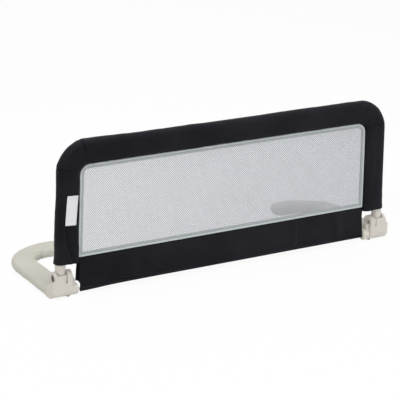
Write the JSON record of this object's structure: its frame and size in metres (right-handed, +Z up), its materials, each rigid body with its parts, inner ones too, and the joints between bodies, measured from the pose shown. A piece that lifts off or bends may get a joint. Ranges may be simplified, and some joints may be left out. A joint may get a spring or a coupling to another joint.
{
  "type": "folding bed guard rail",
  "caption": "Low folding bed guard rail: steel tube hoop in a dark fabric cover with a pale mesh window, on plastic hinge shoes with flat padded legs that hook inward behind it.",
  "frame": {"origin": "on the floor, in the middle of the outline of rail and legs", "axes": "+X along the rail to its right end, +Y from the panel to the legs' hooks, +Z up"},
  "size_m": [0.915, 0.3034, 0.358],
  "materials": {
    "fabric": "tightly woven near-black navy polyester cloth",
    "mesh": "fine pale grey open knit mesh",
    "binding": "grey folded binding tape with two stitch lines",
    "label": "smooth pale woven label, blank",
    "plastic": "warm off-white moulded plastic, fine matt texture",
    "dark_plastic": "black moulded plastic",
    "paint": "off-white powder coat on steel tube",
    "pad": "off-white soft foam sleeve with a smooth skin",
    "steel": "zinc-plated steel",
    "rubber": "black rubber"
  },
  "bodies": {
    "rail": {"frame_tube": "paint", "cover_top": "fabric", "cover_gusset_left": "fabric", "cover_gusset_right": "fabric", "cover_stile_left": "fabric", "cover_stile_right": "fabric", "window_mesh": "mesh", "binding_front": "binding", "binding_back": "binding", "skirt": "fabric", "skirt_hem_rod": "dark_plastic", "label_tag": "label", "post_lug_left": "plastic", "post_lug_right": "plastic", "post_rivet_left": "steel", "post_rivet_right": "steel"},
    "leg_left": {"shoe_left": "plastic", "pivot_bolt_left": "steel", "pivot_nut_left": "dark_plastic", "knob_spring_left": "steel", "leg_core_left": "steel", "leg_pad_left": "pad", "core_plug_left": "dark_plastic", "leg_screw_left": "steel", "rubber_foot_left": "rubber"},
    "leg_right": {"shoe_right": "plastic", "pivot_bolt_right": "steel", "pivot_nut_right": "dark_plastic", "knob_spring_right": "steel", "leg_core_right": "steel", "leg_pad_right": "pad", "core_plug_right": "dark_plastic", "leg_screw_right": "steel", "rubber_foot_right": "rubber"},
    "knob_left": {"release_knob_left": "plastic", "lock_pin_left": "steel"},
    "knob_right": {"release_knob_right": "plastic", "lock_pin_right": "steel"}
  },
  "joints": [
    {"name": "leg_fold_left", "type": "hinge", "parent": "rail", "child": "leg_left", "pos_m": [-0.428, -0.1358, 0.047], "axis": [1, 0, 0], "range_deg": [0, 90]},
    {"name": "leg_fold_right", "type": "hinge", "parent": "rail", "child": "leg_right", "pos_m": [0.428, -0.1358, 0.047], "axis": [1, 0, 0], "range_deg": [0, 90]},
    {"name": "knob_pull_left", "type": "slide", "parent": "leg_left", "child": "knob_left", "axis": [1, 0, 0], "range_m": [0, 0.0034], "stiffness_N_per_m": 600, "springref_m": -0.002, "deforming": ["knob_spring_left"]},
    {"name": "knob_pull_right", "type": "slide", "parent": "leg_right", "child": "knob_right", "axis": [-1, 0, 0], "range_m": [0, 0.0034], "stiffness_N_per_m": 600, "springref_m": -0.002, "deforming": ["knob_spring_right"]}
  ]
}
